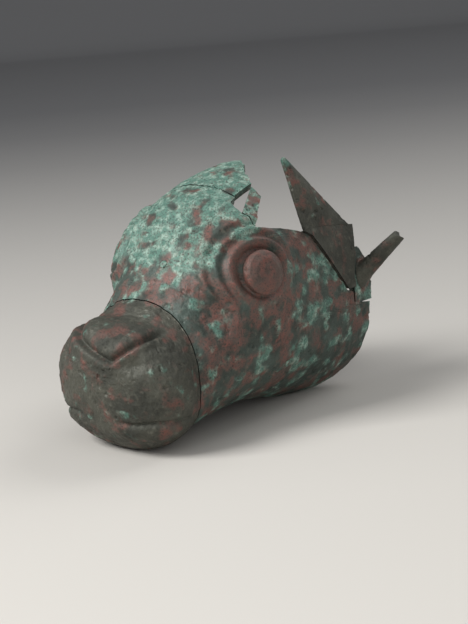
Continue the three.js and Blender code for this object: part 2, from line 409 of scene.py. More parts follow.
def nose_lines(points: np.ndarray) -> np.ndarray:
    """What is cast on the muzzle: the hood's fold and the lip, less the nostrils, mouth and groove behind.

    Args:
        points: positions on the smooth surface.

    Returns:
        The height above the smooth surface.
    """
    x, y, z = np.moveaxis(points, -1, 0)
    front = 1 - smoothstep(*NOSE.front, y)
    far_arm = NOSE.far_slope * np.maximum(0, NOSE.far_start - x)
    near_arm = NOSE.near_slope * np.maximum(0, x - NOSE.near_start)
    above = z - (NOSE.fold_height + far_arm + near_arm)
    fold = (1 - smoothstep(*NOSE.sides, np.abs(x))) * sum(bell.at(above) for bell in NOSE.fold)
    nostrils = sum(NOSE.nostril_across.at(x * side) for side in Side) * NOSE.nostril_up.at(z)
    wave = NOSE.mouth_wave * np.sin(x / NOSE.mouth_wavelength)
    mouth = smoothstep(*NOSE.mouth_sides, np.abs(x)) * NOSE.mouth.at(z - wave)
    behind = y - HEAD.groove_t * HEAD.length / 100
    groove = NOSE.groove_depth * bump(behind, NOSE.groove_width) * smoothstep(*NOSE.groove_above, z)
    return front * (fold - nostrils - mouth + NOSE.lip.at(z)) - groove


def relief(points: np.ndarray, fine: bool) -> np.ndarray:
    """How far the surface stands above the smooth one.

    Args:
        points: positions on the smooth surface.
        fine: whether the cast lines are added to the eyes' mounds.

    Returns:
        The height at each point.
    """
    lift = eye_mounds(points)
    if fine:
        lift = lift + sum(eye_lines(points, side) for side in Side) + nose_lines(points)
    return lift


@dataclass(frozen=True)
class Region:
    """A piece's own share of each crust, added to the noise, and how rough its surface is."""

    green: float
    red: float
    grain: float = 0.22


@dataclass(frozen=True)
class CrustForm:
    """Where the crusts lie on the head, how patchy they are, and how far they rise and pit."""

    layers: int = 5
    fine_layers: int = 3
    green_grain: float = 4.2
    green_edge: Pair = (0.45, 0.64)
    red_grain: float = 4.0
    red_edge: Pair = (0.44, 0.66)
    forehead_above: Pair = (54.0, 64.0)
    forehead_side: Pair = (26.0, 32.0)
    forehead_green: float = 0.2
    forehead_red: float = 0.04
    eye_green: Bell = Bell(-0.22, 0.0, 22.0)
    eye_red: Bell = Bell(0.16, 0.0, 24.0)
    cheek_along: Bell = Bell(0.1, 62.0, 16.0)
    cheek_up: Bell = Bell(1.0, 45.0, 14.0)
    green_rise: float = 0.4
    green_rise_grain: float = 2.0
    green_rise_offset: float = 50.0
    red_rise: float = 0.12
    pit_depth: float = 0.5
    pit_edge: Pair = (0.66, 0.76)
    pit_grain: float = 3.0
    surface_grain: float = 1.4


FORM = CrustForm()


def crusts(points: np.ndarray, region: Region) -> tuple[np.ndarray, np.ndarray, np.ndarray]:
    """The crusts on a piece.

    Args:
        points: positions on the smooth surface.
        region: the piece's own shares.

    Returns:
        The green mask, the red mask, and how far the rough surface rises.
    """
    x, y, z = np.moveaxis(points, -1, 0)
    to_eye = np.linalg.norm(points - eye_axes(Side.NEAR)[0], axis=-1)
    forehead = smoothstep(*FORM.forehead_above, z) * (1 - smoothstep(*FORM.forehead_side, x))
    cheek = FORM.cheek_along.at(y) * FORM.cheek_up.at(z)
    green_bias = region.green + FORM.forehead_green * forehead + FORM.eye_green.at(to_eye) + cheek
    red_bias = region.red + FORM.eye_red.at(to_eye) + FORM.forehead_red * forehead
    green = smoothstep(*FORM.green_edge, CRUST.layered(points, FORM.green_grain, FORM.layers) + green_bias)
    red = smoothstep(*FORM.red_edge, STAIN.layered(points, FORM.red_grain, FORM.layers) + red_bias)
    lumps = CRUST.layered(points + FORM.green_rise_offset, FORM.green_rise_grain)
    pits = smoothstep(*FORM.pit_edge, GRAIN.layered(points, FORM.pit_grain, FORM.fine_layers))
    grain = 2 * (GRAIN.layered(points, FORM.surface_grain, FORM.fine_layers) - 0.5)
    rise = FORM.green_rise * green * lumps + FORM.red_rise * red
    return green, red, rise + region.grain * grain - FORM.pit_depth * pits


def quads(index: np.ndarray, flip: bool = False) -> np.ndarray:
    """Faces of a grid of vertices.

    Args:
        index: the vertices' numbers, row by row.
        flip: whether the faces turn the other way.

    Returns:
        Four corners for each face.
    """
    a, b, c, d = index[:-1, :-1], index[1:, :-1], index[1:, 1:], index[:-1, 1:]
    order = (d, c, b, a) if flip else (a, b, c, d)
    return np.stack([corner.ravel() for corner in order], 1)


def rim(outer: np.ndarray, inner: np.ndarray, share: int) -> Faces:
    """Faces that join an outer line of vertices to a coarser inner one.

    Args:
        outer: the fine line's vertices.
        inner: the coarse line's vertices.
        share: how many steps of the fine line go to one of the coarse line.

    Returns:
        One polygon for each step of the coarse line.
    """
    steps = np.arange(len(inner) - 1)[:, None] * share
    lines = outer[steps + np.arange(share, -1, -1)]
    return np.concatenate([lines, inner[:-1, None], inner[1:, None]], 1).tolist()


def prune(points: np.ndarray, faces: Faces, masks: Masks) -> tuple[np.ndarray, Faces, Masks]:
    """Drops repeated corners, faces with fewer than three corners, and vertices that no face uses.

    Args:
        points: vertices.
        faces: polygons, which may name a vertex twice where the grid closes on itself.
        masks: one value per vertex for each named attribute.

    Returns:
        The vertices, polygons and masks that are left.
    """
    clean = [list(dict.fromkeys(face)) for face in faces]
    clean = [face for face in clean if len(face) > 2]
    used = np.unique(np.concatenate([np.array(face) for face in clean]))
    number = np.zeros(len(points), int)
    number[used] = np.arange(len(used))
    renumber = number.tolist()
    faces = [[renumber[corner] for corner in face] for face in clean]
    return points[used], faces, {name: values[used] for name, values in masks.items()}


@dataclass
class Assembly:
    """Puts finished pieces in the scene, each riding on the root and standing for its CAD node.

    Args:
        shift: from the head's own place to the frame's.
        looks: a material for each slot.
    """

    shift: np.ndarray
    looks: dict[Slot, bpy.types.Material]

    def add(self, node: str, slot: Slot, points: np.ndarray, faces: Faces, masks: Masks) -> None:
        """Adds one piece.

        Args:
            node: the CAD node that it stands for.
            slot: the material slot that it takes its finish from.
            points: vertices in the head's own millimetres.
            faces: polygons.
            masks: one value per vertex for each named attribute.
        """
        mesh = bpy.data.meshes.new(node)
        mesh.from_pydata(((points + self.shift) * MM).tolist(), [], faces)
        for name, values in masks.items():
            mesh.attributes.new(name, "FLOAT", "POINT").data.foreach_set("value", values.astype(np.float32))
        mesh.polygons.foreach_set("use_smooth", np.ones(len(mesh.polygons), bool))
        mesh.materials.append(self.looks[slot])
        mesh.update()
        piece = bpy.data.objects.new(f"{node}_visual", mesh)
        bpy.context.collection.objects.link(piece)
        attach(piece, "root")
        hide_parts(node)
        LOG.info("%s: %d vertices, %d faces", node, len(points), len(faces))


@dataclass
class WallPatch:
    """A closed patch of wall: a fine outer face, an inner one a third as fine, and a rim.

    Args:
        place: turns two shares, along and round the patch, into t and an angle.
        outer: the outer face's depth below the head's surface.
        fine: whether the cast lines show on it.
        wraps: whether it goes right round the head and starts at the dome's pole.
    """

    node: str
    slot: Slot
    region: Region
    rows: int
    columns: int
    place: Place
    outer: float = 0.0
    wall: float = HEAD.wall
    fine: bool = True
    wraps: bool = False

    SHARE = 3
    INNER_RED = 0.3

    def lines(self, share: int) -> tuple[np.ndarray, np.ndarray]:
        """t and angles of a grid that is a share times as fine as the inner one."""
        along, around = np.linspace(0, 1, self.rows * share + 1), np.linspace(0, 1, self.columns * share + 1)
        return self.place(*np.meshgrid(along, around, indexing="ij"))

    def outer_face(self) -> tuple[np.ndarray, np.ndarray, np.ndarray]:
        """The outer face: the smooth surface, lifted by its relief and crusts, and nowhere below the floor.

        Returns:
            Its points, green mask and red mask.
        """
        t, degrees = self.lines(self.SHARE)
        base = base_point(t, degrees)
        green, red, rise = crusts(base, self.region)
        lift = relief(base, self.fine) - self.outer + rise
        points = base + outward(t, degrees) * lift[..., None]
        points[..., 2] = np.maximum(points[..., 2], 0.0)
        return points, green, red

    def inner_face(self) -> np.ndarray:
        """The inner face: a wall below the smooth surface and its mounds, and at least that far off the floor.

        Returns:
            Its points.
        """
        t, degrees = self.lines(1)
        base = base_point(t, degrees)
        lift = relief(base, False) - self.outer - self.wall
        points = base + outward(t, degrees) * lift[..., None]
        points[..., 2] = np.maximum(points[..., 2], self.wall)
        return points

    def build(self, assembly: Assembly) -> None:
        """Builds both faces and the rim, and adds the piece.

        Args:
            assembly: what it is added to.
        """
        out, green, red = self.outer_face()
        back = self.inner_face()
        outer = np.arange(green.size).reshape(out.shape[:2])
        inner = np.arange(back.shape[0] * back.shape[1]).reshape(back.shape[:2])
        if self.wraps:
            for index in (outer, inner):
                index[:, -1] = index[:, 0]
                index[0, :] = index[0, 0]
        inner = inner + outer.size
        faces = quads(outer).tolist() + quads(inner, flip=True).tolist()
        faces += rim(outer[-1, ::-1], inner[-1, ::-1], self.SHARE)
        if not self.wraps:
            faces += rim(outer[0], inner[0], self.SHARE)
            faces += rim(outer[::-1, 0], inner[::-1, 0], self.SHARE)
            faces += rim(outer[:, -1], inner[:, -1], self.SHARE)
        points = np.concatenate([out.reshape(-1, 3), back.reshape(-1, 3)])
        masks = {
            "green": np.concatenate([green.ravel(), np.zeros(inner.size)]),
            "red": np.concatenate([red.ravel(), np.full(inner.size, self.INNER_RED)]),
        }
        if self.wraps:
            points, faces, masks = prune(points, faces, masks)
        assembly.add(self.node, self.slot, points, faces, masks)


def edge_t(edge: Edge, degrees: np.ndarray) -> np.ndarray:
    """The t of an edge at an angle."""
    return np.interp(degrees, [angle for angle, _ in edge], [t for _, t in edge])


def up_to(edge: Edge, start: float, torn: float = 0.9) -> Place:
    """A patch from a level front line to an edge, which noise tears into small teeth.

    Args:
        edge: where the patch ends.
        start: the t of its front line.
        torn: how deep the teeth are, in t.

    Returns:
        The patch's place function.
    """
    teeth_grain, teeth_level = 5.0, 0.6

    def place(u: np.ndarray, v: np.ndarray) -> tuple[np.ndarray, np.ndarray]:
        """A share of the way from the front line to the torn edge, at a share of the way round.

        Args:
            u: shares along the patch.
            v: shares round it.

        Returns:
            t and angle.
        """
        degrees = edge[0][0] + v * (edge[-1][0] - edge[0][0])
        end = edge_t(edge, degrees)
        along = np.stack([degrees, end, np.zeros_like(degrees)], -1)
        teeth = torn * (GRAIN.layered(along, teeth_grain) - teeth_level)
        return start + u * (end + teeth - start), degrees

    return place


def muzzle_place(u: np.ndarray, v: np.ndarray) -> tuple[np.ndarray, np.ndarray]:
    """The whole muzzle, from its pole to the groove behind it."""
    return DOME.start + u * (HEAD.groove_t - DOME.start), 360 * v


def seam(degrees: np.ndarray) -> np.ndarray:
    """The t of the seam between the horn's root and the temple fragment, which leans back above a bend."""
    front, lean, bend = 92.3, 0.2, 10
    return front + lean * np.maximum(0, degrees - bend)


def horn_root_place(u: np.ndarray, v: np.ndarray) -> tuple[np.ndarray, np.ndarray]:
    """The smooth wedge between the cheek's diagonal edge and the seam.

    Args:
        u: shares from the cheek to the seam.
        v: shares from the wedge's lowest angle to its highest.

    Returns:
        t and angle.
    """
    low, span = 1.6, 29.2
    degrees = low + span * v
    start = edge_t(FACE_EDGE, degrees) + 2 * HEAD.gap
    return start + u * (seam(degrees) - HEAD.gap - start), degrees


def temple_place(u: np.ndarray, v: np.ndarray) -> tuple[np.ndarray, np.ndarray]:
    """The piece of wall behind the seam.

    Args:
        u: shares from the seam to the broken edge.
        v: shares from its lowest angle to its highest.

    Returns:
        t and angle.
    """
    low, span = -7.8, 27.8
    degrees = low + span * v
    start = seam(degrees) + HEAD.gap
    return start + u * (edge_t(TEMPLE_EDGE, degrees) - start), degrees


def flap_place(u: np.ndarray, v: np.ndarray) -> tuple[np.ndarray, np.ndarray]:
    """The strip between the crack over the brow and the horn's opening, leaning and narrowing backwards."""
    start, length, low, lean, width, narrowing = 43, 11.5, 43, 11, 10, 2
    return start + length * u, (low + lean * u) + v * (width - narrowing * u)


@dataclass
class HornShard:
    """The torn spike of the horn's wall, swept from the root's upper edge to a narrow tip."""

    tip: Triple = (25.0, 64.0, 94.0)
    faces: Triple = (0.88, -0.42, 0.2)
    tip_width: float = 2.4
    tip_slope: float = 2.0
    tip_crown: float = 0.4
    wall: float = 2.2
    bulge: float = 3.0
    start: float = 66.0
    end: float = 94.0
    angle: float = 30.5
    root_lift: float = 1.0
    tear: float = 2.2
    tear_stretch: float = 40.0
    tear_grain: float = 6.0
    rows: int = 150
    columns: int = 120
    region: Region = Region(-0.3, -0.12, 0.1)

    def sheet(self, outside: np.ndarray) -> np.ndarray:
        """The spike's outer sheet: straight lines from root to tip, bulged outward and torn at both edges.

        Args:
            outside: the direction that the spike faces.

        Returns:
            Points by rows from root to tip, shape (rows + 1, columns + 1, 3).
        """
        rise, width = np.linspace(0, 1, self.rows + 1), np.linspace(0, 1, self.columns + 1)
        up, across = np.meshgrid(rise, width, indexing="ij")
        t = self.start + (self.end - self.start) * across
        degrees = np.full_like(t, self.angle)
        root = base_point(t, degrees)
        root = root + outward(t, degrees) * (relief(root, False) + self.root_lift)[..., None]
        crown = -self.tip_slope * np.abs(across - self.tip_crown)
        tip = np.array(self.tip) + np.stack([across * 0, (across - 0.5) * self.tip_width, crown], -1)
        sheet = root + (tip - root) * up[..., None]
        sheet += outside * (2 * self.bulge * np.sin(np.pi * across) * up * (1 - up))[..., None]
        line = np.stack([up * self.tear_stretch, across * 0, up * 0], -1)
        torn = (GRAIN.layered(line, self.tear_grain) - 0.5) * np.abs(across - 0.5) * (1 - up)
        sheet[..., 1] += self.tear * torn
        return sheet

    def build(self, assembly: Assembly) -> None:
        """Builds the outer sheet, the inner sheet and the rim, and adds the piece.

        Args:
            assembly: what it is added to.
        """
        outside = unit(*self.faces)
        sheet = self.sheet(outside)
        green, red, rise = crusts(sheet, self.region)
        front = sheet + outside * rise[..., None]
        back = sheet - outside * self.wall
        outer = np.arange(green.size).reshape(green.shape)
        inner = outer + outer.size
        faces = quads(outer.T).tolist() + quads(inner.T, flip=True).tolist()
        for line in (np.s_[::-1, 0], np.s_[:, -1], np.s_[0], np.s_[-1, ::-1]):
            faces += rim(outer[line], inner[line], 1)
        points = np.concatenate([front.reshape(-1, 3), back.reshape(-1, 3)])
        masks = {"green": np.tile(green.ravel(), 2), "red": np.tile(red.ravel(), 2)}
        assembly.add("horn_shard", Slot.OLIVE, points, faces, masks)


def signed_volume(points: np.ndarray, triangles: np.ndarray) -> float:
    """Six times the volume inside closed triangles, positive if they face outward."""
    a, b, c = np.moveaxis(points[triangles], 1, 0)
    return float(np.sum(a * np.cross(b, c)))


@dataclass
class Loft:
    """A closed body of rings of points, with a centre at each end."""

    node: str
    slot: Slot
    region: Region
    around: int

    ROUGHNESS = 0.7
    LEAST = 1e-6

    def rings(self) -> np.ndarray:
        """The smooth rings, shape (count, around, 3)."""
        raise NotImplementedError

    def circle(self) -> np.ndarray:
        """Angles round a ring, in radians."""
        return np.linspace(0, 2 * np.pi, self.around, endpoint=False)

    def build(self, assembly: Assembly) -> None:
        """Roughens the rings away from their middles, closes both ends, faces them outward and adds them.

        Args:
            assembly: what they are added to.
        """
        rings = self.rings()
        away = rings - rings.mean(1, keepdims=True)
        away /= np.maximum(np.linalg.norm(away, axis=-1, keepdims=True), self.LEAST)
        green, red, rise = crusts(rings, self.region)
        rings = rings + away * rise[..., None] * self.ROUGHNESS
        index = np.arange(green.size).reshape(green.shape)
        index = np.concatenate([index, index[:, :1]], 1)
        points = np.concatenate([rings.reshape(-1, 3), [rings[0].mean(0), rings[-1].mean(0)]])
        first, last = np.full(self.around, green.size), np.full(self.around, green.size + 1)
        sides = quads(index)
        first_cap = np.stack([first, index[0, :-1], index[0, 1:]], 1)
        last_cap = np.stack([last, index[-1, 1:], index[-1, :-1]], 1)
        caps = np.concatenate([first_cap, last_cap])
        triangles = np.concatenate([sides[:, [0, 1, 2]], sides[:, [0, 2, 3]], caps])
        if signed_volume(points, triangles) < 0:
            sides, caps = sides[:, ::-1], caps[:, ::-1]
        ends = np.zeros(2)
        masks = {"green": np.concatenate([green.ravel(), ends]), "red": np.concatenate([red.ravel(), ends])}
        assembly.add(self.node, self.slot, points, sides.tolist() + caps.tolist(), masks)


@dataclass
class Plug(Loft):
    """A round plug set in the wall, from a profile of radii and depths below the head's surface."""

    t: float
    degrees: float
    profile: list[Pair]

    STEPS = 40

    def rings(self) -> np.ndarray:
        """Circles round the wall's normal, at even steps along straight lines between the profile's corners.

        Returns:
            Points, shape (steps, around, 3).
        """
        t, degrees = np.array(self.t), np.array(self.degrees)
        normal = outward(t, degrees)
        centre = base_point(t, degrees)
        centre = centre + normal * float(relief(centre, False))
        side = unit(*np.cross([0.0, 1.0, 0.0], normal))
        up = np.cross(normal, side)
        steps = np.linspace(0, len(self.profile) - 1, self.STEPS)
        radius, depth = (np.interp(steps, range(len(self.profile)), line) for line in zip(*self.profile))
        flat = side * np.cos(self.circle())[:, None] + up * np.sin(self.circle())[:, None]
        return centre - normal * depth[:, None, None] + flat[None] * radius[:, None, None]


@dataclass
class Ear(Loft):
    """The rolled stalk of the ear, from an oval on the temple to a notched end, with a fold on one side."""

    t: float = 98.0
    degrees: float = 7.0
    points_to: Triple = (0.6, 0.42, 0.68)
    wide_along: Triple = (-0.1, 0.86, -0.5)
    length: float = 21.0
    width: float = 4.6
    thick: float = 3.1
    notch: float = 3.0
    notch_start: float = 0.85
    taper: float = 0.35
    fold: Bell = Bell(0.6, math.pi / 2, 0.45)
    root_length: float = 4.0
    root_turn: float = 8.0
    root_share: float = 0.3
    count: int = 90

    def root_rings(self, angle: np.ndarray) -> np.ndarray:
        """An oval on the temple's surface, a gap above it.

        Args:
            angle: angles round the stalk, in radians.

        Returns:
            Points, shape (1, around, 3).
        """
        along = self.t + self.root_length * np.cos(angle)
        t, degrees = np.broadcast_arrays(along, self.degrees + self.root_turn * np.sin(angle))
        base = base_point(t, degrees)
        return base + outward(t, degrees) * (relief(base, False) + HEAD.gap)[..., None]

    def rings(self) -> np.ndarray:
        """Tapering ovals along a straight stalk, blended into the oval on the temple near the root.

        Returns:
            Points, shape (count, around, 3).
        """
        q = np.linspace(0, 1, self.count)[:, None]
        angle = self.circle()[None, :]
        centre = np.array(self.t), np.array(self.degrees)
        root = base_point(*centre) + outward(*centre) * HEAD.gap
        direction, wide = unit(*self.points_to), unit(*self.wide_along)
        flat = np.cross(direction, wide)
        taper = 1 - self.taper * q
        end = self.notch * (np.cos(angle) ** 2) * 0.5 * smoothstep(self.notch_start, 1.0, q)
        free = (
            root
            + direction * (q * self.length - end)[..., None]
            + wide * (self.width * taper * np.cos(angle))[..., None]
            + flat * (self.thick * taper * (1 - self.fold.at(angle)) * np.sin(angle))[..., None]
        )
        share = smoothstep(0, self.root_share, q)[..., None]
        return self.root_rings(angle) * (1 - share) + free * share


def wall_patches() -> tuple[WallPatch, ...]:
    """Every piece of the head's wall, from the muzzle back.

    Returns:
        The patches, in the order in which they are built.
    """
    face = up_to(FACE_EDGE, HEAD.groove_t + HEAD.gap)
    crest = up_to(CREST_EDGE, CREST_START, torn=3.0)
    throat = up_to(THROAT_EDGE, HEAD.groove_t + 2 * HEAD.gap)
    return (
        WallPatch(
            "muzzle_cap", Slot.OLIVE, Region(-0.2, -0.06, 0.3), rows=56, columns=110, place=muzzle_place,
            wraps=True,
        ),
        WallPatch("face_shell", Slot.CRUSTED, Region(-0.06, 0.0), rows=78, columns=120, place=face),
        WallPatch("poll_crest", Slot.CRUSTED, Region(0.0, 0.02), rows=30, columns=46, place=crest),
        WallPatch("horn_root_flap", Slot.RED, Region(-0.06, 0.08), rows=20, columns=18, place=flap_place),
        WallPatch(
            "horn_root", Slot.OLIVE, Region(-0.3, -0.1, 0.08), rows=40, columns=34, place=horn_root_place,
            outer=-1.2, wall=2.8, fine=False,
        ),
        WallPatch(
            "temple_fragment", Slot.CRUSTED, Region(-0.02, -0.02), rows=18, columns=34, place=temple_place,
        ),
        WallPatch(
            "throat_plate", Slot.DARK, Region(-0.25, -0.12), rows=70, columns=60, place=throat,
            outer=HEAD.wall + HEAD.throat_gap, wall=HEAD.throat_wall, fine=False,
        ),
    )


def plugs() -> tuple[Plug, ...]:
    """The two eyes, and the spacers that held the casting core.

    Returns:
        The plugs, in the order in which they are built.
    """
    radius, rise, pin = EYE.radius, EYE.rise, 1.3
    eye_around, spacer_around = 120, 40
    boss = [
        (radius * 0.98, HEAD.wall), (radius, 0.4), (radius * 0.9, -0.8), (radius * 0.6, -rise),
        (radius * 0.2, -rise - 0.2),
    ]
    spacer = [(pin, HEAD.wall - 0.4), (pin, -0.2), (pin * 0.7, -0.4)]
    eye, spot = Region(-0.1, 0.0), Region(0.2, -0.2, 0.05)
    near, far = eye_angle(Side.NEAR), eye_angle(Side.FAR)
    return (
        Plug("near_eye_boss", Slot.RED, eye, eye_around, t=EYE.t, degrees=near, profile=boss),
        Plug("far_eye_boss", Slot.RED, eye, eye_around, t=EYE.t, degrees=far, profile=boss),
        Plug("core_spacer_brow", Slot.CRUSTED, spot, spacer_around, t=18.5, degrees=82.5, profile=spacer),
        Plug("core_spacer_cheek", Slot.RED, spot, spacer_around, t=51.0, degrees=-30.5, profile=spacer),
    )


class Graph:
    """A node tree with short ways to add the nodes that a patina needs."""

    def __init__(self, tree: bpy.types.NodeTree) -> None:
        self.nodes, self.link = tree.nodes, tree.links.new
        self.coordinates = self.nodes.new("ShaderNodeTexCoord")

    def noise(self, scale: float, detail: float) -> bpy.types.NodeSocket:
        """Noise on Object coordinates.

        Args:
            scale: its scale per metre.
            detail: how many finer layers it has.

        Returns:
            The noise.
        """
        texture = self.nodes.new("ShaderNodeTexNoise")
        texture.inputs["Scale"].default_value = scale
        texture.inputs["Detail"].default_value = detail
        self.link(self.coordinates.outputs["Object"], texture.inputs["Vector"])
        return texture.outputs["Fac"]

    def spread(self, value: bpy.types.NodeSocket, given: Pair, wanted: Pair) -> bpy.types.NodeSocket:
        """A value moved from one range to another.

        Args:
            value: the value.
            given: the range that it has.
            wanted: the range that it gets.

        Returns:
            The moved value.
        """
        node = self.nodes.new("ShaderNodeMapRange")
        for name, number in zip(("From Min", "From Max", "To Min", "To Max"), (*given, *wanted)):
            node.inputs[name].default_value = number
        self.link(value, node.inputs["Value"])
        return node.outputs["Result"]

    def mix(
        self,
        share: bpy.types.NodeSocket,
        first: bpy.types.NodeSocket | Color,
        second: bpy.types.NodeSocket | Color,
    ) -> bpy.types.NodeSocket:
        """A mix of two colours.

        Args:
            share: how much of the second colour there is.
            first: a colour, or a socket that gives one.
            second: the same.

        Returns:
            The mixed colour.
        """
        node = self.nodes.new("ShaderNodeMix")
        node.data_type = "RGBA"
        self.link(share, node.inputs["Factor"])
        for name, colour in (("A", first), ("B", second)):
            socket = next(s for s in node.inputs if s.name == name and s.type == "RGBA")
            if isinstance(colour, tuple):
                socket.default_value = colour
            else:
                self.link(colour, socket)
        return next(s for s in node.outputs if s.type == "RGBA")

    def mask(self, name: str) -> bpy.types.NodeSocket:
        """One of the pieces' masks.

        Args:
            name: the attribute that holds it.

        Returns:
            Its value at each point.
        """
        node = self.nodes.new("ShaderNodeAttribute")
        node.attribute_name = name
        return node.outputs["Fac"]

    def times(self, first: bpy.types.NodeSocket, second: bpy.types.NodeSocket) -> bpy.types.NodeSocket:
        """The product of two values.

        Args:
            first: one value.
            second: the other.

        Returns:
            Their product.
        """
        node = self.nodes.new("ShaderNodeMath")
        node.operation = "MULTIPLY"
        self.link(first, node.inputs[0])
        self.link(second, node.inputs[1])
        return node.outputs[0]


@dataclass(frozen=True)
class Finish:
    """The bare metal under a slot's crusts."""

    slot: Slot
    metal: Color
    metallic: float


FINISHES = (
    Finish(Slot.OLIVE, (0.085, 0.085, 0.066, 1), 0.35),
    Finish(Slot.CRUSTED, (0.06, 0.085, 0.07, 1), 0.15),
    Finish(Slot.RED, (0.13, 0.085, 0.07, 1), 0.2),
    Finish(Slot.DARK, (0.03, 0.032, 0.027, 1), 0.25),
)


@dataclass(frozen=True)
class PatinaSizes:
    """Each noise's scale per metre and its detail, and the ranges that turn noise into shares."""

    broad: Pair = (90, 4)
    middle: Pair = (420, 5)
    fine: Pair = (1500, 3)
    tarnish: tuple[Pair, Pair] = ((0.35, 0.65), (0, 0.7))
    worn: tuple[Pair, Pair] = ((0.55, 0.75), (0, 0.5))
    reddest: tuple[Pair, Pair] = ((0.35, 0.7), (0, 1))
    palest: tuple[Pair, Pair] = ((0.45, 0.7), (0, 1))
    red_speckle: tuple[Pair, Pair] = ((0.3, 0.6), (0.35, 1))
    green_speckle: tuple[Pair, Pair] = ((0.3, 0.55), (0.3, 1))
    grime: tuple[Pair, Pair] = ((0.25, 0.45), (0.6, 0))
    grit: tuple[Pair, Pair] = ((0.2, 0.8), (0.6, 1))
    roughness: tuple[Pair, Pair] = ((0.3, 0.7), (0.5, 0.82))
    bump_strength: float = 0.7
    bump_distance: float = 0.0006


class Patina:
    """Corroded bronze: a metal colour under red and green crusts that follow the pieces' masks."""

    GREEN, PALE = (0.1, 0.21, 0.165, 1), (0.33, 0.46, 0.38, 1)
    RED, BROWN = (0.2, 0.075, 0.058, 1), (0.12, 0.08, 0.066, 1)
    TARNISH, WORN, GRIME = (0.03, 0.032, 0.026, 1), (0.17, 0.165, 0.13, 1), (0.012, 0.014, 0.012, 1)
    OUTPUTS = (("Color", "NodeSocketColor"), ("Roughness", "NodeSocketFloat"), ("Height", "NodeSocketFloat"))
    SIZES = PatinaSizes()

    def __init__(self) -> None:
        self.group = self.make_group()

    def make_group(self) -> bpy.types.NodeTree:
        """The effect that all finishes share: colour, roughness and bump height from noise and the masks.

        Returns:
            The node group.
        """
        tree = bpy.data.node_groups.new("Patina", "ShaderNodeTree")
        tree.interface.new_socket("Metal", in_out="INPUT", socket_type="NodeSocketColor")
        for name, kind in self.OUTPUTS:
            tree.interface.new_socket(name, in_out="OUTPUT", socket_type=kind)
        graph, size = Graph(tree), self.SIZES
        bare = tree.nodes.new("NodeGroupInput").outputs["Metal"]
        sink = tree.nodes.new("NodeGroupOutput")
        broad, middle, fine = graph.noise(*size.broad), graph.noise(*size.middle), graph.noise(*size.fine)
        metal = graph.mix(graph.spread(broad, *size.tarnish), bare, self.TARNISH)
        metal = graph.mix(graph.spread(middle, *size.worn), metal, self.WORN)
        red = graph.mix(graph.spread(middle, *size.reddest), self.BROWN, self.RED)
        green = graph.mix(graph.spread(middle, *size.palest), self.GREEN, self.PALE)
        red_share = graph.times(graph.mask("red"), graph.spread(fine, *size.red_speckle))
        green_share = graph.times(graph.mask("green"), graph.spread(fine, *size.green_speckle))
        colour = graph.mix(green_share, graph.mix(red_share, metal, red), green)
        colour = graph.mix(graph.spread(fine, *size.grime), colour, self.GRIME)
        height = graph.times(middle, graph.spread(fine, *size.grit))
        graph.link(colour, sink.inputs["Color"])
        graph.link(graph.spread(broad, *size.roughness), sink.inputs["Roughness"])
        graph.link(height, sink.inputs["Height"])
        return tree

    def material(self, finish: Finish) -> bpy.types.Material:
        """The patina over one finish's metal.

        Args:
            finish: the slot and its metal.

        Returns:
            The material.
        """
        look = bpy.data.materials.new(finish.slot.value)
        look.use_nodes = True
        nodes, link = look.node_tree.nodes, look.node_tree.links.new
        shader = nodes["Principled BSDF"]
        patina, dents = nodes.new("ShaderNodeGroup"), nodes.new("ShaderNodeBump")
        shader.inputs["Metallic"].default_value = finish.metallic
        patina.node_tree = self.group
        patina.inputs["Metal"].default_value = finish.metal
        dents.inputs["Strength"].default_value = self.SIZES.bump_strength
        dents.inputs["Distance"].default_value = self.SIZES.bump_distance
        link(patina.outputs["Color"], shader.inputs["Base Color"])
        link(patina.outputs["Roughness"], shader.inputs["Roughness"])
        link(patina.outputs["Height"], dents.inputs["Height"])
        link(dents.outputs["Normal"], shader.inputs["Normal"])
        return look


@dataclass(frozen=True)
class Lamp:
    """A soft square panel, in metres and watts."""

    name: str
    place: Triple
    size: float
    power: float


@dataclass(frozen=True)
class SweepSizes:
    """The sweep's line from the floor to the wall, in metres, and its painted light falloff along the floor:
    painted light, pale, near the head, fading to painted shade, grey, beyond it.
    """

    rows: int = 60
    bends: tuple[float, ...] = (0, 0.4, 1)
    reaches: tuple[float, ...] = (-2.0, 1.2, 1.9)
    height: float = 1.9
    curve: Pair = (0.45, 1.0)
    # the reach over which the painted light falls off into painted shade
    fade: Pair = (-0.35, 0.9)
    half_width: float = 2.5
    columns: int = 3
    below_floor: float = 0.0005
    # painted light near the head, and painted shade beyond it
    painted_lit_pale: Color = (0.66, 0.63, 0.58, 1)
    painted_shade_grey: Color = (0.11, 0.11, 0.112, 1)
    roughness: float = 0.95


